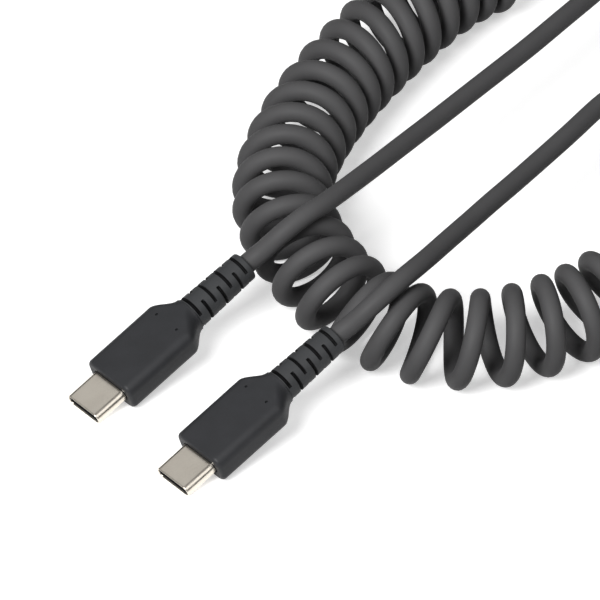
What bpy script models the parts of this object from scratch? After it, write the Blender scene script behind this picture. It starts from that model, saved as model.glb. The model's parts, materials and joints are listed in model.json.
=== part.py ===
"""A coiled USB-C cable, lying on a level floor: a plug at each end, two plain leads and one curly stretch.

Metres, +Z up. The origin is on the floor, under the middle of the cable's footprint.
The curly stretch lies in an open C. Its leads come back across the C and climb over it to the plugs,
which lie tip down on the floor with their tails in the air.
"""

import math

import bmesh
import bpy
import numpy as np
from mathutils import Euler, Vector

# The cord.
CORD_DIAMETER = 0.0036
LEAD_SPACING = 0.0022
CURLY_DIAMETER = 0.0180
CURLY_SPACING = 0.0044
FACE_GAP = 0.0003

# The plug's metal shell, which fits a standard socket.
SHELL_WIDTH = 0.00825
SHELL_HEIGHT = 0.0024
SHELL_REACH = 0.00665
SHELL_WALL = 0.00025
SHELL_SEATED = 0.0024
SHELL_CORNER = 0.00114
SHELL_LIP = 0.00022
SHELL_BEVEL = 0.00005

# The shell's drawn-in front edge: how far back and how far in each line lies, in lip widths.
SHELL_LIP_PROFILE = [(1.5, 0.0), (0.5, 0.2), (0.0, 0.6)]

# The black insulator in the shell, with the slot that takes a socket's tongue.
INSULATOR_SETBACK = 0.00015
INSULATOR_CLEARANCE = 0.00005
INSULATOR_SEATED = 0.0018
TONGUE_SLOT_WIDTH = 0.0069
TONGUE_SLOT_HEIGHT = 0.00096
TONGUE_SLOT_DEPTH = 0.0055
TONGUE_SLOT_CORNER = 0.0002

# The contacts, two rows of strips that lie on the slot's walls.
CONTACT_COUNT = 12
CONTACT_PITCH = 0.0005
CONTACT_WIDTH = 0.00026
CONTACT_THICKNESS = 0.0001
CONTACT_LENGTH = 0.0042
CONTACT_CLEARANCE = 0.00004
CONTACT_BRIDGE = 0.0004

# The moulded housing.
HOUSING_WIDTH = 0.0116
HOUSING_HEIGHT = 0.0060
HOUSING_LENGTH = 0.0194
HOUSING_SHOULDER = 0.0044
HOUSING_CORNER = 0.0019
HOUSING_EDGE = 0.0008
HOUSING_TAIL = 0.0066
HOUSING_TAIL_CORNER = 0.0031
SHOULDER_STEPS = 9
POCKET_CLEARANCE = 0.00006
POCKET_FLOOR_GAP = 0.0002
PIT_DIAMETER = 0.00055
PIT_SIDES = 8
PIT_DEPTH = 0.0004
PIT_SPACING = 0.0054
PIT_FROM_TAIL = 0.0047

# The strain relief, a tapered sleeve with rows of slots that let it bend.
RELIEF_LENGTH = 0.0135
RELIEF_START_DIAMETER = 0.0063
RELIEF_END_DIAMETER = 0.0056
RELIEF_EDGE = 0.0003
TENON_DIAMETER = 0.0044
TENON_LENGTH = 0.0018
TENON_CLEARANCE = 0.00006
TENON_FLOOR_GAP = 0.0002
TENON_SOCKET_FLAT = 0.0001
RELIEF_SLOT_WIDTH = 0.00055
RELIEF_SLOT_HALF_ANGLE = math.radians(61)
RELIEF_SLOT_FLOOR = 0.0022
RELIEF_SLOT_PITCH = 0.0038
RELIEF_FIRST_SLOT = 0.0004
RELIEF_ROWS = 4
RELIEF_SLOT_POINTS = 7
RECESS_CLEARANCE = 0.0002
RECESS_DEPTH = 0.0015

# How the plugs lie: the shell's front edge rests on the floor and the tail is lifted by the lead.
PLUG_HEADING = math.radians(41)
PLUG_TILT = math.radians(18)
PLUG_A_TIP = (-0.0381, -0.0308)
PLUG_B_TIP = (-0.0223, -0.0501)

# Points around a rounded outline's corner and around a round section, and the edges kept sharp.
CORNER_POINTS = 7
ROUND_POINTS = 24
SHARP_ANGLE = math.radians(35)

# The middle line of the curly stretch, seen from above.
CURLY_ROUTE = [
    (0.0414, 0.0850), (0.0314, 0.0800), (0.0217, 0.0705), (0.0141, 0.0600), (0.0075, 0.0495),
    (0.0021, 0.0388), (-0.0013, 0.0294), (-0.0030, 0.0209), (-0.0028, 0.0128), (-0.0002, 0.0047),
    (0.0036, -0.0035), (0.0089, -0.0112), (0.0157, -0.0170), (0.0231, -0.0203), (0.0300, -0.0210),
    (0.0373, -0.0197), (0.0446, -0.0165), (0.0525, -0.0112), (0.0600, -0.0040), (0.0667, 0.0050),
    (0.0713, 0.0160), (0.0727, 0.0221), (0.0728, 0.0282),
]

# The leads' middle lines, from the strain relief over the curly stretch and back to its end, with
# their heights counted from the curly stretch's top.
LEAD_A_ROUTE = [
    (-0.0072, -0.0046, -0.0032), (-0.0047, -0.0040, -0.0008), (-0.0021, -0.0029, 0.0012),
    (0.0007, -0.0010, 0.0024), (0.0036, 0.0015, 0.0027), (0.0077, 0.0066, 0.0021),
    (0.0131, 0.0145, 0.0006), (0.0187, 0.0227, -0.0008), (0.0242, 0.0303, -0.0018),
    (0.0299, 0.0378, -0.0024), (0.0354, 0.0448, -0.0028), (0.0411, 0.0519, -0.0030),
    (0.0465, 0.0589, -0.0031), (0.0516, 0.0656, -0.0033), (0.0560, 0.0717, -0.0034),
    (0.0583, 0.0766, -0.0034), (0.0577, 0.0818, -0.0032), (0.0546, 0.0860, -0.0028),
    (0.0496, 0.0880, -0.0025),
]
LEAD_B_ROUTE = [
    (0.0086, -0.0240, -0.0032), (0.0112, -0.0233, -0.0008), (0.0138, -0.0219, 0.0011),
    (0.0165, -0.0197, 0.0024), (0.0192, -0.0166, 0.0027), (0.0226, -0.0114, 0.0019),
    (0.0262, -0.0051, 0.0006), (0.0300, 0.0015, -0.0008), (0.0337, 0.0076, -0.0018),
    (0.0375, 0.0132, -0.0024), (0.0413, 0.0187, -0.0028), (0.0453, 0.0243, -0.0030),
    (0.0494, 0.0302, -0.0032), (0.0535, 0.0360, -0.0033), (0.0576, 0.0400, -0.0034),
    (0.0626, 0.0414, -0.0033), (0.0676, 0.0402, -0.0029), (0.0715, 0.0366, -0.0025),
]


def clear_scene():
    for obj in list(bpy.data.objects):
        bpy.data.objects.remove(obj, do_unlink=True)


def make_material(name, colour, roughness, metallic=0.0):
    material = bpy.data.materials.new(name)
    material.use_nodes = True
    shader = material.node_tree.nodes["Principled BSDF"]
    shader.inputs["Base Color"].default_value = (*colour, 1.0)
    shader.inputs["Roughness"].default_value = roughness
    shader.inputs["Metallic"].default_value = metallic
    return material


def make_empty(name, parent=None):
    empty = bpy.data.objects.new(name, None)
    empty.parent = parent
    bpy.context.scene.collection.objects.link(empty)
    return empty


def add_mesh(name, bm, parent, material):
    bmesh.ops.recalc_face_normals(bm, faces=bm.faces)
    mesh = bpy.data.meshes.new(name)
    bm.to_mesh(mesh)
    bm.free()
    mesh.shade_smooth()
    mesh.set_sharp_from_angle(angle=SHARP_ANGLE)
    obj = bpy.data.objects.new(name, mesh)
    obj.parent = parent
    if material:
        mesh.materials.append(material)
    bpy.context.scene.collection.objects.link(obj)
    return obj


def subtract(target, cutter):
    """Cuts the cutter's shape out of the target and keeps the cutter as a hidden guide."""
    cutter.hide_render = True
    cutter.display_type = "WIRE"
    boolean = target.modifiers.new("cut_" + cutter.name, "BOOLEAN")
    boolean.operation = "DIFFERENCE"
    boolean.object = cutter


def fuse(target, other):
    other.hide_render = True
    other.display_type = "WIRE"
    boolean = target.modifiers.new("join_" + other.name, "BOOLEAN")
    boolean.operation = "UNION"
    boolean.object = other


def rounded_outline(width, height, corner):
    """(y, z) points around a rectangle with round corners, anticlockwise seen from +X."""
    points = []
    for quarter, (side_y, side_z) in enumerate(((1, 1), (-1, 1), (-1, -1), (1, -1))):
        middle_y = side_y * (width / 2 - corner)
        middle_z = side_z * (height / 2 - corner)
        for step in range(CORNER_POINTS):
            angle = math.pi / 2 * (quarter + step / (CORNER_POINTS - 1))
            points.append(
                (middle_y + corner * math.cos(angle), middle_z + corner * math.sin(angle))
            )
    return points


def round_outline(diameter):
    return [
        (diameter / 2 * math.cos(angle), diameter / 2 * math.sin(angle))
        for angle in np.linspace(0, 2 * math.pi, ROUND_POINTS, endpoint=False)
    ]


def loft(sections):
    """A closed mesh through (x, outline) sections, with a flat cap at each end."""
    bm = bmesh.new()
    loops = [[bm.verts.new((x, y, z)) for y, z in outline] for x, outline in sections]
    for first, second in zip(loops, loops[1:]):
        for i in range(len(first)):
            j = (i + 1) % len(first)
            bm.faces.new((first[i], first[j], second[j], second[i]))
    bm.faces.new(loops[0])
    bm.faces.new(loops[-1][::-1])
    return bm


def add_box(bm, low, high):
    corners = [
        bm.verts.new((x, y, z)) for x in (low[0], high[0]) for y in (low[1], high[1])
        for z in (low[2], high[2])
    ]
    for side in ((0, 1, 3, 2), (4, 6, 7, 5), (0, 4, 5, 1), (2, 3, 7, 6), (0, 2, 6, 4), (1, 5, 7, 3)):
        bm.faces.new([corners[i] for i in side])


def smooth_route(points, spacing):
    """Evenly spaced points on the natural cubic spline through the route's points."""
    points = np.array(points, dtype=float)
    count = len(points)
    knots = np.concatenate([[0.0], np.cumsum(np.linalg.norm(np.diff(points, axis=0), axis=1))])
    step = np.diff(knots)
    system = np.eye(count)
    right = np.zeros_like(points)
    for i in range(1, count - 1):
        system[i, i - 1 : i + 2] = step[i - 1], 2 * (step[i - 1] + step[i]), step[i]
        right[i] = 6 * (
            (points[i + 1] - points[i]) / step[i] - (points[i] - points[i - 1]) / step[i - 1]
        )
    bend = np.linalg.solve(system, right)

    def at(s):
        i = int(np.clip(np.searchsorted(knots, s) - 1, 0, count - 2))
        a = (knots[i + 1] - s) / step[i]
        b = 1 - a
        curve = ((a**3 - a) * bend[i] + (b**3 - b) * bend[i + 1]) * step[i] ** 2 / 6
        return a * points[i] + b * points[i + 1] + curve

    return [at(s) for s in np.linspace(0, knots[-1], max(2, round(knots[-1] / spacing) + 1))]


def add_tube(name, points, diameter, resolution, parent, material):
    curve = bpy.data.curves.new(name, "CURVE")
    curve.dimensions = "3D"
    curve.twist_mode = "Z_UP"
    curve.bevel_depth = diameter / 2
    curve.bevel_resolution = resolution
    curve.use_fill_caps = True
    spline = curve.splines.new("POLY")
    spline.points.add(len(points) - 1)
    for place, point in zip(spline.points, points):
        place.co = (*point, 1.0)
    curve.materials.append(material)
    obj = bpy.data.objects.new(name, curve)
    obj.parent = parent
    bpy.context.scene.collection.objects.link(obj)
    return obj


def add_shell(name, plug, material):
    def outline(inset):
        return rounded_outline(
            SHELL_WIDTH - 2 * inset, SHELL_HEIGHT - 2 * inset, SHELL_CORNER - inset
        )

    front = -SHELL_REACH
    stations = [(SHELL_SEATED, 0.0)]
    stations += [(front + back * SHELL_LIP, inward * SHELL_LIP) for back, inward in SHELL_LIP_PROFILE]
    stations += [
        (front, SHELL_WALL - SHELL_BEVEL),
        (front + SHELL_BEVEL, SHELL_WALL),
        (SHELL_SEATED, SHELL_WALL),
    ]
    bm = bmesh.new()
    loops = [[bm.verts.new((x, y, z)) for y, z in outline(inset)] for x, inset in stations]
    for first, second in zip(loops, loops[1:] + loops[:1]):
        for i in range(len(first)):
            j = (i + 1) % len(first)
            bm.faces.new((first[i], first[j], second[j], second[i]))
    return add_mesh(name, bm, plug, material)


def add_insulator(name, plug, material):
    inset = SHELL_WALL + INSULATOR_CLEARANCE
    body = rounded_outline(SHELL_WIDTH - 2 * inset, SHELL_HEIGHT - 2 * inset, SHELL_CORNER - inset)
    slot = rounded_outline(TONGUE_SLOT_WIDTH, TONGUE_SLOT_HEIGHT, TONGUE_SLOT_CORNER)
    front = INSULATOR_SETBACK - SHELL_REACH
    bm = loft([(INSULATOR_SEATED, body), (front, body), (front, slot), (front + TONGUE_SLOT_DEPTH, slot)])
    return add_mesh(name, bm, plug, material)


def add_contacts(name, plug, material):
    """Two rows of strips joined by a bridge at the slot's floor, as one comb."""
    floor = INSULATOR_SETBACK - SHELL_REACH + TONGUE_SLOT_DEPTH - CONTACT_CLEARANCE
    wall = TONGUE_SLOT_HEIGHT / 2 - CONTACT_CLEARANCE
    half_row = (CONTACT_COUNT - 1) * CONTACT_PITCH / 2
    half_width = CONTACT_WIDTH / 2
    bm = bmesh.new()
    add_box(
        bm,
        (floor - CONTACT_BRIDGE, -half_row - half_width, -wall),
        (floor, half_row + half_width, wall),
    )
    bridge = add_mesh(name, bm, plug, material)
    for side, low in (("upper", wall - CONTACT_THICKNESS), ("lower", -wall)):
        bm = bmesh.new()
        for i in range(CONTACT_COUNT):
            middle = i * CONTACT_PITCH - half_row
            add_box(
                bm,
                (floor - CONTACT_LENGTH, middle - half_width, low),
                (floor - CONTACT_BRIDGE / 2, middle + half_width, low + CONTACT_THICKNESS),
            )
        fuse(bridge, add_mesh(f"{name}_{side}_strips", bm, plug, material))
    return bridge


def add_housing(name, plug, material):
    """Lofted from the pocket's floor round the front edge, along the body and in to the tail's socket."""
    pocket = rounded_outline(
        SHELL_WIDTH + 2 * POCKET_CLEARANCE,
        SHELL_HEIGHT + 2 * POCKET_CLEARANCE,
        SHELL_CORNER + POCKET_CLEARANCE,
    )
    sections = [(SHELL_SEATED + POCKET_FLOOR_GAP, pocket), (0.0, pocket)]
    for angle in (0, math.pi / 6, math.pi / 3, math.pi / 2):
        inset = HOUSING_EDGE * (1 - math.sin(angle))
        sections.append(
            (
                HOUSING_EDGE * (1 - math.cos(angle)),
                rounded_outline(
                    HOUSING_WIDTH - 2 * inset, HOUSING_HEIGHT - 2 * inset, HOUSING_CORNER - inset
                ),
            )
        )
    for i in range(SHOULDER_STEPS + 1):
        along = i / SHOULDER_STEPS
        blend = along * along * (3 - 2 * along)
        sections.append(
            (
                HOUSING_LENGTH - HOUSING_SHOULDER * (1 - along),
                rounded_outline(
                    HOUSING_WIDTH + blend * (HOUSING_TAIL - HOUSING_WIDTH),
                    HOUSING_HEIGHT + blend * (HOUSING_TAIL - HOUSING_HEIGHT),
                    HOUSING_CORNER + blend * (HOUSING_TAIL_CORNER - HOUSING_CORNER),
                ),
            )
        )
    socket = TENON_DIAMETER + 2 * TENON_CLEARANCE
    socket_outline = rounded_outline(socket, socket, (socket - TENON_SOCKET_FLAT) / 2)
    sections.append((HOUSING_LENGTH, socket_outline))
    sections.append((HOUSING_LENGTH - TENON_LENGTH - TENON_FLOOR_GAP, socket_outline))
    housing = add_mesh(name, loft(sections), plug, material)
    bm = bmesh.new()
    for side in (-1, 1):
        made = bmesh.ops.create_cone(
            bm, cap_ends=True, segments=PIT_SIDES, radius1=PIT_DIAMETER / 2, radius2=PIT_DIAMETER / 2,
            depth=2 * PIT_DEPTH,
        )
        place = Vector((HOUSING_LENGTH - PIT_FROM_TAIL, side * PIT_SPACING / 2, HOUSING_HEIGHT / 2))
        bmesh.ops.translate(bm, verts=made["verts"], vec=place)
    subtract(housing, add_mesh(name + "_pits", bm, plug, None))
    return housing


def add_relief_slots(name, plug):
    """The cutter for the slots: rows across the top and bottom, and between them rows across the sides."""
    bm = bmesh.new()
    reach = RELIEF_START_DIAMETER
    rows = [(RELIEF_FIRST_SLOT + i * RELIEF_SLOT_PITCH, math.pi / 2) for i in range(RELIEF_ROWS)]
    rows += [
        (RELIEF_FIRST_SLOT + (i + 0.5) * RELIEF_SLOT_PITCH, 0.0) for i in range(RELIEF_ROWS - 1)
    ]
    for start, facing in rows:
        for middle in (facing, facing + math.pi):
            angles = np.linspace(
                middle - RELIEF_SLOT_HALF_ANGLE, middle + RELIEF_SLOT_HALF_ANGLE, RELIEF_SLOT_POINTS
            )
            outline = [
                (radius * math.cos(angle), radius * math.sin(angle))
                for radius, row in ((RELIEF_SLOT_FLOOR, angles), (reach, angles[::-1]))
                for angle in row
            ]
            loops = [
                [bm.verts.new((HOUSING_LENGTH + start + x, y, z)) for y, z in outline]
                for x in (0.0, RELIEF_SLOT_WIDTH)
            ]
            bm.faces.new(loops[0])
            bm.faces.new(loops[1][::-1])
            for i in range(len(outline)):
                j = (i + 1) % len(outline)
                bm.faces.new((loops[0][j], loops[0][i], loops[1][i], loops[1][j]))
    return add_mesh(name, bm, plug, None)


def add_strain_relief(name, plug, material):
    start = HOUSING_LENGTH
    end = HOUSING_LENGTH + RELIEF_LENGTH
    recess = round_outline(CORD_DIAMETER + 2 * RECESS_CLEARANCE)
    seam = TENON_FLOOR_GAP / 2
    sections = [
        (start - TENON_LENGTH, round_outline(TENON_DIAMETER)),
        (start + seam, round_outline(TENON_DIAMETER)),
        (start + seam, round_outline(RELIEF_START_DIAMETER)),
        (end - RELIEF_EDGE, round_outline(RELIEF_END_DIAMETER)),
        (end, round_outline(RELIEF_END_DIAMETER - 2 * RELIEF_EDGE)),
        (end, recess),
        (end - RECESS_DEPTH, recess),
    ]
    relief = add_mesh(name, loft(sections), plug, material)
    subtract(relief, add_relief_slots(name + "_slots", plug))
    return relief


def plug_frame(tip):
    """Where the middle of the housing's front face lies, and how the plug is turned."""
    turn = Euler((0.0, -PLUG_TILT, PLUG_HEADING))
    height = SHELL_HEIGHT / 2 * math.cos(PLUG_TILT)
    face = Vector((*tip, height)) + turn.to_matrix() @ Vector((SHELL_REACH, 0.0, 0.0))
    return face, turn


def add_plug(label, tip, root, materials):
    plug = make_empty(label, root)
    plug.location, plug.rotation_euler = plug_frame(tip)
    return [
        add_shell(label + "_shell", plug, materials["steel"]),
        add_insulator(label + "_insulator", plug, materials["insulator"]),
        add_contacts(label + "_contacts", plug, materials["contact"]),
        add_housing(label + "_housing", plug, materials["housing"]),
        add_strain_relief(label + "_strain_relief", plug, materials["relief"]),
    ]


def add_lead(name, tip, route, last_turn, root, material):
    """From inside the strain relief's mouth, along the route, to the last turn at the curly stretch's end."""
    face, turn = plug_frame(tip)
    inside = HOUSING_LENGTH + RELIEF_LENGTH - RECESS_DEPTH + FACE_GAP
    outside = HOUSING_LENGTH + RELIEF_LENGTH + CORD_DIAMETER / 4
    mouth = [face + turn.to_matrix() @ Vector((x, 0.0, 0.0)) for x in (inside, outside)]
    lifted = [(x, y, CURLY_DIAMETER + above) for x, y, above in route]
    points = smooth_route([*mouth, *lifted, *last_turn], LEAD_SPACING)
    return add_tube(name, points, CORD_DIAMETER, 2, root, material)


def last_turns(points):
    """For each end of the curly stretch, the two points where its lead runs square up to the end face."""
    lift = Vector((0.0, 0.0, (CURLY_DIAMETER - CORD_DIAMETER) / 2))
    ends = []
    for end, inner in ((points[0], points[1]), (points[-1], points[-2])):
        outward = (Vector(end) - Vector(inner)).normalized()
        ends.append([Vector(end) + lift + reach * outward for reach in (CORD_DIAMETER, FACE_GAP)])
    return ends


def centre_on_footprint(root, pieces):
    """Moves the root so that the origin lies under the middle of the cable."""
    bpy.context.view_layer.update()
    graph = bpy.context.evaluated_depsgraph_get()
    corners = []
    for piece in pieces:
        evaluated = piece.evaluated_get(graph)
        corners += [evaluated.matrix_world @ v.co for v in evaluated.to_mesh().vertices]
        evaluated.to_mesh_clear()
    low = np.min(corners, axis=0)
    high = np.max(corners, axis=0)
    root.location = (-(low[0] + high[0]) / 2, -(low[1] + high[1]) / 2, 0.0)


def main():
    clear_scene()
    materials = {
        "cord": make_material("cord", (0.035, 0.035, 0.037), 0.5),
        "housing": make_material("housing", (0.025, 0.026, 0.028), 0.55),
        "relief": make_material("strain_relief", (0.035, 0.036, 0.038), 0.55),
        "steel": make_material("shell", (0.62, 0.58, 0.53), 0.3, 1.0),
        "insulator": make_material("insulator", (0.012, 0.012, 0.012), 0.5),
        "contact": make_material("contact", (0.75, 0.58, 0.3), 0.3, 1.0),
    }
    root = make_empty("cable")
    curly_height = CURLY_DIAMETER / 2
    curly = smooth_route([(x, y, curly_height) for x, y in CURLY_ROUTE], CURLY_SPACING)
    end_a, end_b = last_turns(curly)
    pieces = [add_tube("curly_cord", curly, CURLY_DIAMETER, 6, root, materials["cord"])]
    for label, tip, route, last_turn in (
        ("a", PLUG_A_TIP, LEAD_A_ROUTE, end_a),
        ("b", PLUG_B_TIP, LEAD_B_ROUTE, end_b),
    ):
        pieces += add_plug("plug_" + label, tip, root, materials)
        pieces.append(add_lead("lead_" + label, tip, route, last_turn, root, materials["cord"]))
    centre_on_footprint(root, pieces)


main()
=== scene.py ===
"""A coiled USB-C cable: the looks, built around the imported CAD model. Metres, +Z up.

The cord is one piece from plug a to plug b. Its route is the CAD model's, and its curly stretch
winds inside the fat tube that stands for it there. Each plug's pieces are finer copies of the CAD
nodes, in the same places.
"""

import json
import math

import bmesh
import bpy
import numpy as np
from mathutils import Euler, Matrix, Vector


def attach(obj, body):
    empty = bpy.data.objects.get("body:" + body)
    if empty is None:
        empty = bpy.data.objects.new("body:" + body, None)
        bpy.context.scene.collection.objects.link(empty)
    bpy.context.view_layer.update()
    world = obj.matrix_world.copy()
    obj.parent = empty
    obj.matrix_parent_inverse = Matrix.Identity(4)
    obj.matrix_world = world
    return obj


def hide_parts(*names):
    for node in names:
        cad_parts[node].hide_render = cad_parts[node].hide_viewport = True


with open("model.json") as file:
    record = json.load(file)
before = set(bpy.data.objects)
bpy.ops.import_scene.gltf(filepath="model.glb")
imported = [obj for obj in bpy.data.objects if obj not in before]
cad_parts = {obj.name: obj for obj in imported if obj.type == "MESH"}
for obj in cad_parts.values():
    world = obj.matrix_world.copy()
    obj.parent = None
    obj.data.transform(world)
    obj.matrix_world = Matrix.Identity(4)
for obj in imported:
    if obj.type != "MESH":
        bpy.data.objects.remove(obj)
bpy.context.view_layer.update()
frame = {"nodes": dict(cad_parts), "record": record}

# The cord.
CORD_DIAMETER = 0.0036
CURLY_DIAMETER = 0.0180
FACE_GAP = 0.0003
CORD_SIDES = 20
POINTS_PER_TURN = 44
LEAD_SPACING = 0.0012
CURLY_SPACING = 0.0003

# The shell and what it holds.
SHELL_WIDTH = 0.00825
SHELL_HEIGHT = 0.0024
SHELL_REACH = 0.00665
SHELL_WALL = 0.00025
SHELL_SEATED = 0.0024
SHELL_CORNER = 0.00114
SHELL_LIP = 0.00022
INSULATOR_SETBACK = 0.00015
INSULATOR_CLEARANCE = 0.00005
INSULATOR_SEATED = 0.0018
INSULATOR_EDGE = 0.0001
TONGUE_SLOT_WIDTH = 0.0069
TONGUE_SLOT_HEIGHT = 0.00096
TONGUE_SLOT_DEPTH = 0.0055
TONGUE_SLOT_CORNER = 0.0002

# The housing.
HOUSING_WIDTH = 0.0116
HOUSING_HEIGHT = 0.0060
HOUSING_LENGTH = 0.0194
HOUSING_SHOULDER = 0.0044
HOUSING_CORNER = 0.0019
HOUSING_EDGE = 0.0008
HOUSING_TAIL = 0.0066
HOUSING_TAIL_CORNER = 0.0031
POCKET_CLEARANCE = 0.00006
POCKET_FLOOR_GAP = 0.0002
POCKET_EDGE = 0.00012
PIT_DIAMETER = 0.00055
PIT_DEPTH = 0.0004
PIT_SPACING = 0.0054
PIT_FROM_TAIL = 0.0047

# The strain relief.
RELIEF_LENGTH = 0.0135
RELIEF_START_DIAMETER = 0.0063
RELIEF_END_DIAMETER = 0.0056
RELIEF_EDGE = 0.0003
TENON_DIAMETER = 0.0044
TENON_LENGTH = 0.0018
TENON_CLEARANCE = 0.00006
TENON_FLOOR_GAP = 0.0002
TENON_SOCKET_FLAT = 0.0001
RELIEF_SLOT_WIDTH = 0.00055
RELIEF_SLOT_HALF_ANGLE = math.radians(61)
RELIEF_SLOT_FLOOR = 0.0022
RELIEF_SLOT_PITCH = 0.0038
RELIEF_FIRST_SLOT = 0.0004
RELIEF_ROWS = 4
RELIEF_SLOT_WALL = 0.00006
RELIEF_SLOT_END = math.radians(7)
RELIEF_FINE_EDGE = 0.00005
RELIEF_RING_SPACING = 0.00006

# A face of the sleeve counts as inside a slot, and gets the painted slot shade, where the slot is more
# than this share of its full depth.
SLOT_INSIDE = 0.5

# The mouth that the cord goes into.
RECESS_CLEARANCE = 0.0002
RECESS_DEPTH = 0.0015

# How the plugs lie.
PLUG_HEADING = math.radians(41)
PLUG_TILT = math.radians(18)
PLUG_TIPS = {"a": (-0.0381, -0.0308), "b": (-0.0223, -0.0501)}

# How far above the middle of the housing's front face the plug's mount lies.
MOUNT_HEIGHT = 0.0018

# Points around each rounded corner of an outline and around each round section.
CORNER_POINTS = 14
INSULATOR_CORNER_POINTS = 8
ROUND_POINTS = 96
PIT_SIDES = 20

# Outlines along each rounded edge, and along the housing's shoulder.
LIP_STEPS = 9
POCKET_EDGE_STEPS = 4
HOUSING_EDGE_STEPS = 8
SHOULDER_STEPS = 33
RELIEF_EDGE_STEPS = 6

# Edges that turn by more than this many degrees are shaded sharp.
SHARP_ANGLE = 35
SHELL_SHARP_ANGLE = 40
RELIEF_SHARP_ANGLE = 50
CORD_SHARP_ANGLE = 60

# Points closer than this are one point.
MERGE_DISTANCE = 1e-7

# Most of a noise's values lie between these two.
NOISE_LOW = 0.3
NOISE_HIGH = 0.7

# The floor, a light table 6 m across, and the light that comes from all round.
FLOOR_HALF_SIZE = 3.0
FLOOR_GLOW = 0.4
ROOM_LIGHT = 0.08

# The camera looks at the middle of the layout from far off, so there is hardly any perspective.
CAMERA_ELEVATION = math.radians(41)
CAMERA_DISTANCE = 4.0
CAMERA_LENS = 1356
CAMERA_CLIP_START = 0.01

# The middle line of the curly stretch, seen from above.
CURLY_ROUTE = [
    (0.0414, 0.0850), (0.0314, 0.0800), (0.0217, 0.0705), (0.0141, 0.0600), (0.0075, 0.0495),
    (0.0021, 0.0388), (-0.0013, 0.0294), (-0.0030, 0.0209), (-0.0028, 0.0128), (-0.0002, 0.0047),
    (0.0036, -0.0035), (0.0089, -0.0112), (0.0157, -0.0170), (0.0231, -0.0203), (0.0300, -0.0210),
    (0.0373, -0.0197), (0.0446, -0.0165), (0.0525, -0.0112), (0.0600, -0.0040), (0.0667, 0.0050),
    (0.0713, 0.0160), (0.0727, 0.0221), (0.0728, 0.0282),
]

# The leads' middle lines, from each strain relief over the curly stretch and back to its end. Their
# heights are counted from the curly stretch's top.
LEAD_ROUTES = {
    "a": [
        (-0.0072, -0.0046, -0.0032), (-0.0047, -0.0040, -0.0008), (-0.0021, -0.0029, 0.0012),
        (0.0007, -0.0010, 0.0024), (0.0036, 0.0015, 0.0027), (0.0077, 0.0066, 0.0021),
        (0.0131, 0.0145, 0.0006), (0.0187, 0.0227, -0.0008), (0.0242, 0.0303, -0.0018),
        (0.0299, 0.0378, -0.0024), (0.0354, 0.0448, -0.0028), (0.0411, 0.0519, -0.0030),
        (0.0465, 0.0589, -0.0031), (0.0516, 0.0656, -0.0033), (0.0560, 0.0717, -0.0034),
        (0.0583, 0.0766, -0.0034), (0.0577, 0.0818, -0.0032), (0.0546, 0.0860, -0.0028),
        (0.0496, 0.0880, -0.0025),
    ],
    "b": [
        (0.0086, -0.0240, -0.0032), (0.0112, -0.0233, -0.0008), (0.0138, -0.0219, 0.0011),
        (0.0165, -0.0197, 0.0024), (0.0192, -0.0166, 0.0027), (0.0226, -0.0114, 0.0019),
        (0.0262, -0.0051, 0.0006), (0.0300, 0.0015, -0.0008), (0.0337, 0.0076, -0.0018),
        (0.0375, 0.0132, -0.0024), (0.0413, 0.0187, -0.0028), (0.0453, 0.0243, -0.0030),
        (0.0494, 0.0302, -0.0032), (0.0535, 0.0360, -0.0033), (0.0576, 0.0400, -0.0034),
        (0.0626, 0.0414, -0.0033), (0.0676, 0.0402, -0.0029), (0.0715, 0.0366, -0.0025),
    ],
}

# The winding of the curly stretch. At each end the cord bends from running along it into its turns.
WIND_RADIUS = 0.0075
END_PITCH = 0.0056
TOTAL_TURNS = 32
BEND_STEPS = 400
WINDING_STEPS = 20000

# How many turns the cord has made at each place along the curly stretch, counted from its end a.
TURNS = [
    (0.0180, 2.29), (0.0240, 3.33), (0.0380, 5.75), (0.0500, 7.77), (0.0620, 9.71), (0.0750, 11.85),
    (0.0870, 13.88), (0.0980, 15.63), (0.1100, 17.46), (0.1240, 19.47), (0.1380, 21.54),
    (0.1520, 23.55), (0.1660, 25.62), (0.1840, 28.32),
]

# How far a turn's inner side and its top lean towards the stretch's end b, at each place along it.
SIDE_LEANS = [
    (0.0, 0.0), (0.0075, 0.0), (0.0180, 0.0018), (0.0300, 0.0022), (0.0440, 0.0010),
    (0.0560, -0.0009), (0.0690, -0.0020), (0.0800, -0.0018), (0.0920, 0.0001), (0.1040, -0.0005),
    (0.1170, -0.0009), (0.1300, 0.0001), (0.1430, 0.0004), (0.1550, 0.0009), (0.1680, -0.0002),
    (0.1900, -0.0002), (0.2050, 0.0), (0.2200, 0.0),
]
TOP_LEANS = [
    (0.0, 0.0), (0.0180, 0.0), (0.0300, 0.0003), (0.0440, 0.0002), (0.0560, -0.0003),
    (0.0690, -0.0006), (0.0800, -0.0003), (0.0920, 0.0008), (0.1040, 0.0010), (0.1170, 0.0014),
    (0.1300, 0.0012), (0.1430, 0.0001), (0.1550, -0.0009), (0.1680, -0.0024), (0.1900, -0.0016),
    (0.2050, 0.0), (0.2200, 0.0),
]


def lengths_along(points):
    """How far each point lies from the first one, along the line through them all."""
    return np.concatenate([[0.0], np.cumsum(np.linalg.norm(np.diff(points, axis=0), axis=1))])


def directions_along(points):
    direction = np.gradient(points, axis=0)
    return direction / np.linalg.norm(direction, axis=1)[:, None]


def smooth_step(part):
    return part * part * (3 - 2 * part)


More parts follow.
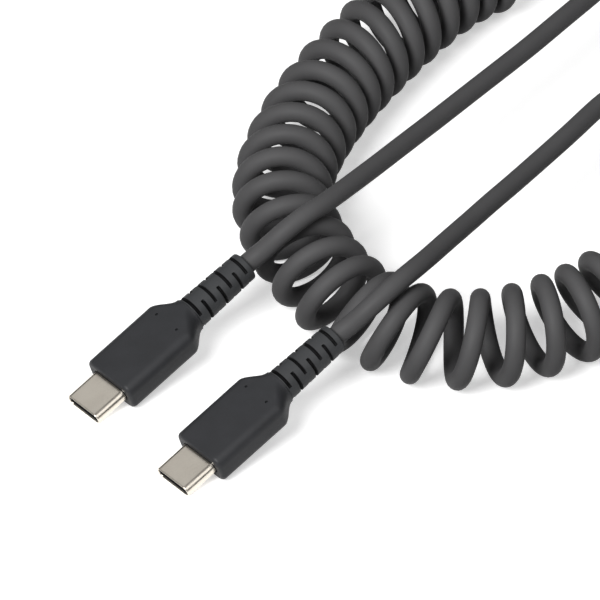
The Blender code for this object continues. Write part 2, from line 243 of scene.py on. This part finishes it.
def smooth_route(points, spacing):
    """Evenly spaced points on the natural cubic spline through the route's points."""
    points = np.array(points, dtype=float)
    count = len(points)
    knots = lengths_along(points)
    step = np.diff(knots)
    system = np.eye(count)
    right = np.zeros_like(points)
    for i in range(1, count - 1):
        system[i, i - 1 : i + 2] = step[i - 1], 2 * (step[i - 1] + step[i]), step[i]
        right[i] = 6 * (
            (points[i + 1] - points[i]) / step[i] - (points[i] - points[i - 1]) / step[i - 1]
        )
    bend = np.linalg.solve(system, right)

    def at(s):
        i = int(np.clip(np.searchsorted(knots, s) - 1, 0, count - 2))
        a = (knots[i + 1] - s) / step[i]
        b = 1 - a
        curve = ((a**3 - a) * bend[i] + (b**3 - b) * bend[i + 1]) * step[i] ** 2 / 6
        return a * points[i] + b * points[i + 1] + curve

    steps = max(2, round(knots[-1] / spacing) + 1)
    return np.array([at(s) for s in np.linspace(0, knots[-1], steps)])


def eased(table, places, end_slope=0.0):
    """The table's values at these places, on a smooth curve with this slope at both ends."""
    x, y = np.array(table).T
    slope = np.full_like(y, end_slope)
    slope[1:-1] = (y[2:] - y[:-2]) / (x[2:] - x[:-2])
    i = np.clip(np.searchsorted(x, places, side="right") - 1, 0, len(x) - 2)
    width = x[i + 1] - x[i]
    t = (places - x[i]) / width
    return (
        (2 * t**3 - 3 * t**2 + 1) * y[i]
        + (t**3 - 2 * t**2 + t) * width * slope[i]
        + (3 * t**2 - 2 * t**3) * y[i + 1]
        + (t**3 - t**2) * width * slope[i + 1]
    )


def plug_frame(tip):
    """The place of the middle of the housing's front face in the layout, and the plug's turn."""
    turn = Euler((0.0, -PLUG_TILT, PLUG_HEADING)).to_matrix()
    height = SHELL_HEIGHT / 2 * math.cos(PLUG_TILT)
    face = Vector((*tip, height)) + turn @ Vector((SHELL_REACH, 0.0, 0.0))
    return face, turn


def layout_shift():
    """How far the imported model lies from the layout's own origin, read from a plug's mount."""
    mount = next(m for m in frame["record"]["mounts"] if m["name"] == "plug_a_face")
    face, turn = plug_frame(PLUG_TIPS["a"])
    point = face + turn @ Vector((0.0, 0.0, MOUNT_HEIGHT))
    shift = Vector(mount["pos_m"]) - point
    shift.z = 0.0
    return shift


SHIFT = layout_shift()


def add_camera():
    camera = bpy.data.objects.new("camera", bpy.data.cameras.new("camera"))
    bpy.context.scene.collection.objects.link(camera)
    back = Vector((0.0, -math.cos(CAMERA_ELEVATION), math.sin(CAMERA_ELEVATION)))
    camera.location = SHIFT + back * CAMERA_DISTANCE
    camera.rotation_euler = (-back).to_track_quat("-Z", "Y").to_euler()
    camera.data.lens = CAMERA_LENS
    camera.data.clip_start = CAMERA_CLIP_START
    bpy.context.scene.camera = camera


# Materials


class Shader:
    """A material's nodes, with short ways to add and join them."""

    def __init__(self, name, colour, roughness, metallic=0.0):
        self.material = bpy.data.materials.new(name)
        self.material.use_nodes = True
        self.nodes = self.material.node_tree.nodes
        self.bsdf = self.nodes["Principled BSDF"]
        self.bsdf.inputs["Base Color"].default_value = (*colour, 1.0)
        self.bsdf.inputs["Roughness"].default_value = roughness
        self.bsdf.inputs["Metallic"].default_value = metallic

    def join(self, output, socket):
        self.material.node_tree.links.new(output, socket)

    def place(self, scale=(1.0, 1.0, 1.0), source="Object"):
        where = self.nodes.new("ShaderNodeTexCoord")
        stretch = self.nodes.new("ShaderNodeVectorMath")
        stretch.operation = "MULTIPLY"
        stretch.inputs[1].default_value = scale
        self.join(where.outputs[source], stretch.inputs[0])
        return stretch.outputs[0]

    def noise(self, place, scale, detail):
        noise = self.nodes.new("ShaderNodeTexNoise")
        noise.inputs["Scale"].default_value = scale
        noise.inputs["Detail"].default_value = detail
        self.join(place, noise.inputs["Vector"])
        return noise.outputs["Fac"]

    def spread(self, value, low, high):
        remap = self.nodes.new("ShaderNodeMapRange")
        remap.inputs["From Min"].default_value = NOISE_LOW
        remap.inputs["From Max"].default_value = NOISE_HIGH
        remap.inputs["To Min"].default_value = low
        remap.inputs["To Max"].default_value = high
        self.join(value, remap.inputs["Value"])
        return remap.outputs["Result"]

    def shades(self, value, dark, light):
        ramp = self.nodes.new("ShaderNodeValToRGB")
        ramp.color_ramp.elements[0].position = NOISE_LOW
        ramp.color_ramp.elements[0].color = (*dark, 1.0)
        ramp.color_ramp.elements[1].position = NOISE_HIGH
        ramp.color_ramp.elements[1].color = (*light, 1.0)
        self.join(value, ramp.inputs["Fac"])
        return ramp.outputs["Color"]

    def bump(self, height, strength, distance, normal=None):
        bump = self.nodes.new("ShaderNodeBump")
        bump.inputs["Strength"].default_value = strength
        bump.inputs["Distance"].default_value = distance
        self.join(height, bump.inputs["Height"])
        if normal:
            self.join(normal, bump.inputs["Normal"])
        return bump.outputs["Normal"]

    def finish(self, colour=None, roughness=None, normal=None):
        sockets = {"Base Color": colour, "Roughness": roughness, "Normal": normal}
        for socket, value in sockets.items():
            if value:
                self.join(value, self.bsdf.inputs[socket])
        return self.material


def rubber_material():
    """The cord's matt jacket: faint drawn lines along it, a fine grain and a slightly uneven sheen."""
    shader = Shader("cord_rubber", colour=(0.100, 0.099, 0.101), roughness=0.6)
    shader.bsdf.inputs["Specular IOR Level"].default_value = 0.2
    shader.bsdf.inputs["Sheen Weight"].default_value = 0.03
    shader.bsdf.inputs["Sheen Roughness"].default_value = 0.5
    drawn = shader.noise(shader.place((12.0, 9.0, 1.0), "UV"), scale=3.0, detail=2.0)
    cloud = shader.noise(shader.place(), scale=130.0, detail=3.0)
    grain = shader.noise(shader.place(), scale=5200.0, detail=2.0)
    colour = shader.shades(cloud, dark=(0.103, 0.102, 0.104), light=(0.113, 0.112, 0.114))
    roughness = shader.spread(cloud, low=0.56, high=0.64)
    lines = shader.bump(drawn, strength=0.25, distance=0.00004)
    normal = shader.bump(grain, strength=0.25, distance=0.00002, normal=lines)
    return shader.finish(colour, roughness, normal)


def moulded_material(name, dark, light, roughness):
    """Moulded plastic with an eroded grain and a slight cloudiness."""
    shader = Shader(name, light, roughness)
    shader.bsdf.inputs["Specular IOR Level"].default_value = 0.35
    cloud = shader.noise(shader.place(), scale=260.0, detail=4.0)
    grain = shader.noise(shader.place(), scale=3800.0, detail=3.0)
    colour = shader.shades(cloud, dark, light)
    uneven = shader.spread(grain, low=roughness - 0.06, high=roughness + 0.06)
    return shader.finish(colour, uneven, shader.bump(grain, strength=0.35, distance=0.00003))


def nickel_material():
    """The shell's satin nickel, brushed along the plug."""
    shader = Shader("shell_nickel", colour=(0.74, 0.69, 0.61), roughness=0.3, metallic=1.0)
    along_plug = shader.place((60.0, 2600.0, 2600.0), "Generated")
    brushed = shader.noise(along_plug, scale=0.5, detail=3.0)
    cloud = shader.noise(shader.place(), scale=300.0, detail=2.0)
    colour = shader.shades(cloud, dark=(0.72, 0.67, 0.595), light=(0.77, 0.72, 0.64))
    roughness = shader.spread(brushed, low=0.24, high=0.34)
    return shader.finish(colour, roughness, shader.bump(brushed, strength=0.08, distance=0.00001))


def contact_material():
    """The contacts' thin gold, a little worn."""
    shader = Shader("contact_gold", colour=(0.9, 0.66, 0.3), roughness=0.25, metallic=1.0)
    wear = shader.noise(shader.place(), scale=1500.0, detail=3.0)
    colour = shader.shades(wear, dark=(0.82, 0.58, 0.26), light=(0.93, 0.71, 0.36))
    return shader.finish(colour, shader.spread(wear, low=0.2, high=0.34))


def floor_material():
    """A white light table, which glows a little and so keeps the shadows faint."""
    shader = Shader("floor", colour=(0.9, 0.9, 0.9), roughness=0.8)
    shader.bsdf.inputs["Emission Color"].default_value = (1.0, 1.0, 1.0, 1.0)
    shader.bsdf.inputs["Emission Strength"].default_value = FLOOR_GLOW
    cloud = shader.noise(shader.place(), scale=6.0, detail=2.0)
    colour = shader.shades(cloud, dark=(0.895, 0.895, 0.895), light=(0.905, 0.905, 0.905))
    return shader.finish(colour)


# Shapes


def add_mesh(name, bm, material, place=None, sharp=SHARP_ANGLE):
    bmesh.ops.recalc_face_normals(bm, faces=bm.faces)
    mesh = bpy.data.meshes.new(name)
    bm.to_mesh(mesh)
    bm.free()
    if place:
        mesh.transform(place)
    mesh.shade_smooth()
    mesh.set_sharp_from_angle(angle=math.radians(sharp))
    if material:
        mesh.materials.append(material)
    obj = bpy.data.objects.new(name, mesh)
    bpy.context.scene.collection.objects.link(obj)
    return obj


def rounded_outline(width, height, corner, corner_points=CORNER_POINTS):
    """(y, z) points around a rectangle with round corners, anticlockwise seen from +X."""
    points = []
    for quarter, (side_y, side_z) in enumerate(((1, 1), (-1, 1), (-1, -1), (1, -1))):
        middle_y = side_y * (width / 2 - corner)
        middle_z = side_z * (height / 2 - corner)
        for step in range(corner_points):
            angle = math.pi / 2 * (quarter + step / (corner_points - 1))
            points.append(
                (middle_y + corner * math.cos(angle), middle_z + corner * math.sin(angle))
            )
    return points


def join_loops(bm, loops):
    for first, second in zip(loops, loops[1:]):
        for i in range(len(first)):
            j = (i + 1) % len(first)
            bm.faces.new((first[i], first[j], second[j], second[i]))


def loft(sections):
    """A closed mesh through (x, outline) sections, with a flat cap at each end."""
    bm = bmesh.new()
    loops = [[bm.verts.new((x, y, z)) for y, z in outline] for x, outline in sections]
    join_loops(bm, loops)
    bm.faces.new(loops[0])
    bm.faces.new(loops[-1][::-1])
    return bm


def quarter_steps(radius, count):
    """(along, inset) pairs round a quarter circle, from its outer end to its inner end."""
    return [
        (radius * (1 - math.cos(angle)), radius * (1 - math.sin(angle)))
        for angle in np.linspace(0, math.pi / 2, count)
    ]


def make_shell(name, place, material):
    def outline(inset):
        return rounded_outline(
            SHELL_WIDTH - 2 * inset, SHELL_HEIGHT - 2 * inset, SHELL_CORNER - inset
        )

    front = -SHELL_REACH
    half = SHELL_WALL / 2
    stations = [(SHELL_SEATED, 0.0), (front + SHELL_LIP, 0.0)]
    for angle in np.linspace(0, math.pi, LIP_STEPS):
        stations.append(
            (front + SHELL_LIP - SHELL_LIP * math.sin(angle), half - half * math.cos(angle))
        )
    stations += [(front + SHELL_LIP, SHELL_WALL), (SHELL_SEATED, SHELL_WALL)]
    bm = bmesh.new()
    loops = [[bm.verts.new((x, y, z)) for y, z in outline(inset)] for x, inset in stations]
    join_loops(bm, loops + loops[:1])
    bmesh.ops.remove_doubles(bm, verts=bm.verts, dist=MERGE_DISTANCE)
    return add_mesh(name, bm, material, place, SHELL_SHARP_ANGLE)


def make_insulator(name, place, material):
    inset = SHELL_WALL + INSULATOR_CLEARANCE
    front = INSULATOR_SETBACK - SHELL_REACH

    def body(extra):
        cut = inset + extra
        return rounded_outline(
            SHELL_WIDTH - 2 * cut, SHELL_HEIGHT - 2 * cut, SHELL_CORNER - cut,
            INSULATOR_CORNER_POINTS,
        )

    def slot(extra):
        return rounded_outline(
            TONGUE_SLOT_WIDTH + 2 * extra, TONGUE_SLOT_HEIGHT + 2 * extra,
            TONGUE_SLOT_CORNER + extra, INSULATOR_CORNER_POINTS,
        )

    edge = INSULATOR_EDGE
    sections = [
        (INSULATOR_SEATED, body(0.0)), (front + edge, body(0.0)), (front, body(edge)),
        (front, slot(edge)), (front + edge, slot(0.0)), (front + TONGUE_SLOT_DEPTH, slot(0.0)),
    ]
    return add_mesh(name, loft(sections), material, place)


def make_housing(name, place, material):
    """Lofted from the pocket's floor round the front edge, along the body, into the tail's socket."""

    def pocket(extra):
        grow = 2 * (POCKET_CLEARANCE + extra)
        return rounded_outline(
            SHELL_WIDTH + grow, SHELL_HEIGHT + grow, SHELL_CORNER + POCKET_CLEARANCE + extra
        )

    sections = [(SHELL_SEATED + POCKET_FLOOR_GAP, pocket(0.0)), (POCKET_EDGE, pocket(0.0))]
    sections += [
        (POCKET_EDGE - inset, pocket(POCKET_EDGE - along))
        for inset, along in reversed(quarter_steps(POCKET_EDGE, POCKET_EDGE_STEPS))
    ]
    for along, inset in quarter_steps(HOUSING_EDGE, HOUSING_EDGE_STEPS):
        outline = rounded_outline(
            HOUSING_WIDTH - 2 * inset, HOUSING_HEIGHT - 2 * inset, HOUSING_CORNER - inset
        )
        sections.append((along, outline))
    for along in np.linspace(0, 1, SHOULDER_STEPS):
        blend = smooth_step(along)
        outline = rounded_outline(
            HOUSING_WIDTH + blend * (HOUSING_TAIL - HOUSING_WIDTH),
            HOUSING_HEIGHT + blend * (HOUSING_TAIL - HOUSING_HEIGHT),
            HOUSING_CORNER + blend * (HOUSING_TAIL_CORNER - HOUSING_CORNER),
        )
        sections.append((HOUSING_LENGTH - HOUSING_SHOULDER * (1 - along), outline))
    socket = TENON_DIAMETER + 2 * TENON_CLEARANCE
    socket_outline = rounded_outline(socket, socket, (socket - TENON_SOCKET_FLAT) / 2)
    sections.append((HOUSING_LENGTH, socket_outline))
    sections.append((HOUSING_LENGTH - TENON_LENGTH - TENON_FLOOR_GAP, socket_outline))
    housing = add_mesh(name, loft(sections), material)
    for side in (-1, 1):
        bm = bmesh.new()
        bmesh.ops.create_cone(
            bm, cap_ends=True, segments=PIT_SIDES, radius1=PIT_DIAMETER / 2,
            radius2=PIT_DIAMETER / 2, depth=2 * PIT_DEPTH,
        )
        middle = (HOUSING_LENGTH - PIT_FROM_TAIL, side * PIT_SPACING / 2, HOUSING_HEIGHT / 2)
        cutter = add_mesh("cutter", bm, None, Matrix.Translation(Vector(middle)))
        cut_away(housing, cutter)
    housing.data.set_sharp_from_angle(angle=math.radians(SHARP_ANGLE))
    housing.data.transform(place)
    return housing


def cut_away(target, cutter):
    """Cuts the cutter's shape out of the target's mesh, and removes the cutter."""
    boolean = target.modifiers.new("cut", "BOOLEAN")
    boolean.object = cutter
    boolean.solver = "EXACT"
    graph = bpy.context.evaluated_depsgraph_get()
    result = bpy.data.meshes.new_from_object(target.evaluated_get(graph))
    target.modifiers.clear()
    target.data = result
    bpy.data.objects.remove(cutter)


def relief_groove(along, angles):
    """How deep the slots are, from 0 to 1, at a place along the sleeve for each angle round it."""
    depth = np.zeros_like(angles)
    rows = [(RELIEF_FIRST_SLOT + i * RELIEF_SLOT_PITCH, math.pi / 2) for i in range(RELIEF_ROWS)]
    rows += [
        (RELIEF_FIRST_SLOT + (i + 0.5) * RELIEF_SLOT_PITCH, 0.0) for i in range(RELIEF_ROWS - 1)
    ]
    for start, facing in rows:
        away = abs(along - start - RELIEF_SLOT_WIDTH / 2)
        within = RELIEF_SLOT_WIDTH / 2 + RELIEF_SLOT_WALL / 2 - away
        turned = np.abs((angles - facing + math.pi / 2) % math.pi - math.pi / 2)
        inside = RELIEF_SLOT_HALF_ANGLE + RELIEF_SLOT_END / 2 - turned
        across = np.clip(within / RELIEF_SLOT_WALL, 0, 1)
        part = across * np.clip(inside / RELIEF_SLOT_END, 0, 1)
        depth = np.maximum(depth, smooth_step(part))
    return depth


def make_relief(name, place, material):
    """The sleeve as rings along it, drawn in where the slots are. Faces deep in the slots get a second,
    near-black material: painted shade.
    """
    start = HOUSING_LENGTH
    end = HOUSING_LENGTH + RELIEF_LENGTH
    seam = start + TENON_FLOOR_GAP / 2
    angles = np.linspace(0, 2 * math.pi, ROUND_POINTS, endpoint=False)
    whole = np.zeros_like(angles)
    first = RELIEF_START_DIAMETER / 2
    rings = [
        (start - TENON_LENGTH, TENON_DIAMETER / 2, whole), (seam, TENON_DIAMETER / 2, whole),
        (seam, first - RELIEF_FINE_EDGE, whole), (seam + RELIEF_FINE_EDGE, first, whole),
    ]
    for x in np.arange(seam + 2 * RELIEF_FINE_EDGE, end - RELIEF_EDGE, RELIEF_RING_SPACING):
        taper = (x - seam) / (end - RELIEF_EDGE - seam)
        diameter = RELIEF_START_DIAMETER + taper * (RELIEF_END_DIAMETER - RELIEF_START_DIAMETER)
        outer = diameter / 2
        groove = relief_groove(x - start, angles)
        rings.append((x, outer + groove * (RELIEF_SLOT_FLOOR - outer), groove))
    for along, inset in reversed(quarter_steps(RELIEF_EDGE, RELIEF_EDGE_STEPS)):
        rings.append((end - along, RELIEF_END_DIAMETER / 2 - inset, whole))
    mouth = CORD_DIAMETER / 2 + RECESS_CLEARANCE
    rings += [
        (end, mouth + RELIEF_FINE_EDGE, whole), (end - RELIEF_FINE_EDGE, mouth, whole),
        (end - RECESS_DEPTH, mouth, whole),
    ]
    bm = bmesh.new()
    loops = []
    for x, radius, _ in rings:
        radius = np.broadcast_to(radius, angles.shape)
        loops.append(
            [bm.verts.new((x, r * math.cos(a), r * math.sin(a))) for r, a in zip(radius, angles)]
        )
    join_loops(bm, loops)
    # Faces deep in a slot take the second material, a near-black painted shade.
    for index, face in enumerate(bm.faces):
        ring, sector = divmod(index, ROUND_POINTS)
        corners = (rings[ring][2][sector], rings[ring + 1][2][(sector + 1) % ROUND_POINTS])
        face.material_index = int(max(corners) > SLOT_INSIDE)
    bm.faces.new(loops[0])
    bm.faces.new(loops[-1][::-1])
    relief = add_mesh(name, bm, material, place, RELIEF_SHARP_ANGLE)
    relief.data.materials.append(slot_painted_shade)
    return relief


# The cord


def winding(length, radius):
    """Even steps along the wound cord: places along the curly stretch, and the turns made there."""
    once_round = 2 * math.pi * radius
    angles = np.linspace(0, math.atan2(once_round, END_PITCH), BEND_STEPS)
    bend_places = WIND_RADIUS * np.sin(angles)
    bend_turns = WIND_RADIUS * (1 - np.cos(angles)) / once_round
    first = (bend_places[-1], bend_turns[-1])
    last = (length - bend_places[-1], TOTAL_TURNS - bend_turns[-1])
    places = np.linspace(first[0], last[0], WINDING_STEPS)
    turns = eased([first, *TURNS, last], places, 1 / END_PITCH)
    places = np.concatenate([bend_places[:-1], places, length - bend_places[-2::-1]])
    turns = np.concatenate([bend_turns[:-1], turns, TOTAL_TURNS - bend_turns[-2::-1]])
    walked = np.hypot(np.diff(places), np.diff(turns) * once_round)
    walked = np.concatenate([[0.0], np.cumsum(walked)])
    steps = np.linspace(0, walked[-1], TOTAL_TURNS * POINTS_PER_TURN)
    return np.interp(steps, walked, places), np.interp(steps, walked, turns)


def cord_path():
    """The whole middle line, from inside plug a's strain relief to inside plug b's."""
    middle = smooth_route([(x, y, CURLY_DIAMETER / 2) for x, y in CURLY_ROUTE], CURLY_SPACING)
    along = lengths_along(middle)
    direction = directions_along(middle)
    radius = (CURLY_DIAMETER - CORD_DIAMETER) / 2
    ends = {"a": (middle[0], -direction[0]), "b": (middle[-1], direction[-1])}
    leads = {}
    for label, (end, outward) in ends.items():
        face, turn = plug_frame(PLUG_TIPS[label])
        inside = HOUSING_LENGTH + RELIEF_LENGTH - RECESS_DEPTH + FACE_GAP
        outside = HOUSING_LENGTH + RELIEF_LENGTH + CORD_DIAMETER / 4
        mouth = [face + turn @ Vector((x, 0.0, 0.0)) for x in (inside, outside)]
        top = end + (0.0, 0.0, radius)
        last = [top + reach * outward for reach in (CORD_DIAMETER, FACE_GAP)]
        route = [(x, y, CURLY_DIAMETER + above) for x, y, above in LEAD_ROUTES[label]]
        leads[label] = smooth_route([*mouth, *route, *last], LEAD_SPACING)

    places, turns = winding(along[-1], radius)
    phase = 2 * math.pi * turns
    side_lean = eased(SIDE_LEANS, places) * np.sin(phase)
    top_lean = eased(TOP_LEANS, places) * np.cos(phase)
    leaned = places + side_lean + top_lean
    centre = np.stack([np.interp(leaned, along, middle[:, axis]) for axis in range(3)], axis=1)
    facing = np.stack([np.interp(leaned, along, direction[:, axis]) for axis in range(3)], axis=1)
    left = np.stack([-facing[:, 1], facing[:, 0], np.zeros(len(places))], axis=1)
    left /= np.linalg.norm(left, axis=1)[:, None]
    curly = centre + radius * (np.sin(phase)[:, None] * left + np.cos(phase)[:, None] * (0, 0, 1))
    return np.concatenate([leads["a"], curly, leads["b"][::-1]]) + np.array(SHIFT)


def make_cord(name, path, material):
    """A round tube along the path, with a UV map of metres along it and turns around it."""
    direction = directions_along(path)
    side = np.cross(direction[0], (0.0, 0.0, 1.0))
    bm = bmesh.new()
    loops = []
    for point, forward in zip(path, direction):
        side = side - forward * np.dot(side, forward)
        side /= np.linalg.norm(side)
        other = np.cross(forward, side)
        loops.append(
            [
                bm.verts.new(point + CORD_DIAMETER / 2 * (math.cos(a) * side + math.sin(a) * other))
                for a in np.linspace(0, 2 * math.pi, CORD_SIDES, endpoint=False)
            ]
        )
    join_loops(bm, loops)
    uv = bm.loops.layers.uv.new("along")
    length = lengths_along(path)
    bm.faces.ensure_lookup_table()
    for index, face in enumerate(bm.faces):
        ring, sector = divmod(index, CORD_SIDES)
        corners = ((0, 0), (0, 1), (1, 1), (1, 0))
        for loop, (ahead, around) in zip(face.loops, corners):
            loop[uv].uv = (length[ring + ahead], (sector + around) / CORD_SIDES)
    bm.faces.new(loops[0])
    bm.faces.new(loops[-1][::-1])
    return add_mesh(name, bm, material, None, CORD_SHARP_ANGLE)


# Build it

add_camera()
path = cord_path()
cord = make_cord("cord", path, rubber_material())
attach(cord, "root")
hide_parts("curly_cord", "lead_a", "lead_b")

housing_plastic = moulded_material(
    "housing_plastic", dark=(0.041, 0.042, 0.045), light=(0.047, 0.048, 0.052), roughness=0.5
)
relief_plastic = moulded_material(
    "relief_plastic", dark=(0.060, 0.062, 0.065), light=(0.068, 0.070, 0.073), roughness=0.55
)
# Painted shade: a near-black colour for the insides of the sleeve's slots, standing in for the shade in
# them.
slot_painted_shade = moulded_material(
    "slot_painted_shade", dark=(0.010, 0.010, 0.011), light=(0.014, 0.014, 0.015), roughness=0.8
)
insulator_plastic = moulded_material(
    "insulator_plastic", dark=(0.010, 0.010, 0.010), light=(0.014, 0.014, 0.014), roughness=0.4
)
nickel = nickel_material()
gold = contact_material()
for label, tip in PLUG_TIPS.items():
    face, turn = plug_frame(tip)
    place = Matrix.Translation(SHIFT + face) @ turn.to_4x4()
    plug = f"plug_{label}_"
    for part, make, material, slot in (
        ("shell", make_shell, nickel, "shell_steel"),
        ("insulator", make_insulator, insulator_plastic, "insulator"),
        ("housing", make_housing, housing_plastic, "housing_plastic"),
        ("strain_relief", make_relief, relief_plastic, "relief_rubber"),
    ):
        piece = make(f"fine_{plug}{part}", place, material)
        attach(piece, "root")
        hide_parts(plug + part)
    contacts = frame["nodes"][plug + "contacts"]
    for material_slot in contacts.material_slots:
        material_slot.material = gold

# Floor and light

bm = bmesh.new()
bmesh.ops.create_grid(bm, x_segments=1, y_segments=1, size=FLOOR_HALF_SIZE)
floor = add_mesh("floor", bm, floor_material())
# The floor throws no soft light up at the pieces, so that their undersides stay dark.
floor.visible_diffuse = False

world = bpy.data.worlds.new("studio")
world.use_nodes = True
background = world.node_tree.nodes["Background"]
background.inputs["Color"].default_value = (1.0, 1.0, 1.0, 1.0)
background.inputs["Strength"].default_value = ROOM_LIGHT
bpy.context.scene.world = world
bpy.context.scene.view_settings.view_transform = "Standard"
bpy.context.scene.view_settings.look = "Medium High Contrast"


def add_softbox(name, position, size, power):
    """A round lamp that faces the object, with its size in metres and its power in watts."""
    light = bpy.data.lights.new(name, "AREA")
    light.shape = "DISK"
    light.size = size
    light.energy = power
    lamp = bpy.data.objects.new(name, light)
    bpy.context.scene.collection.objects.link(lamp)
    lamp.location = position
    lamp.rotation_euler = (SHIFT - Vector(position)).to_track_quat("-Z", "Y").to_euler()


add_softbox("front", position=(-0.42, -0.72, 0.82), size=0.5, power=10.5)
add_softbox("back_left", position=(-0.36, 0.44, 0.82), size=0.8, power=0.8)
add_softbox("right", position=(0.44, -0.46, 0.76), size=0.8, power=1.8)
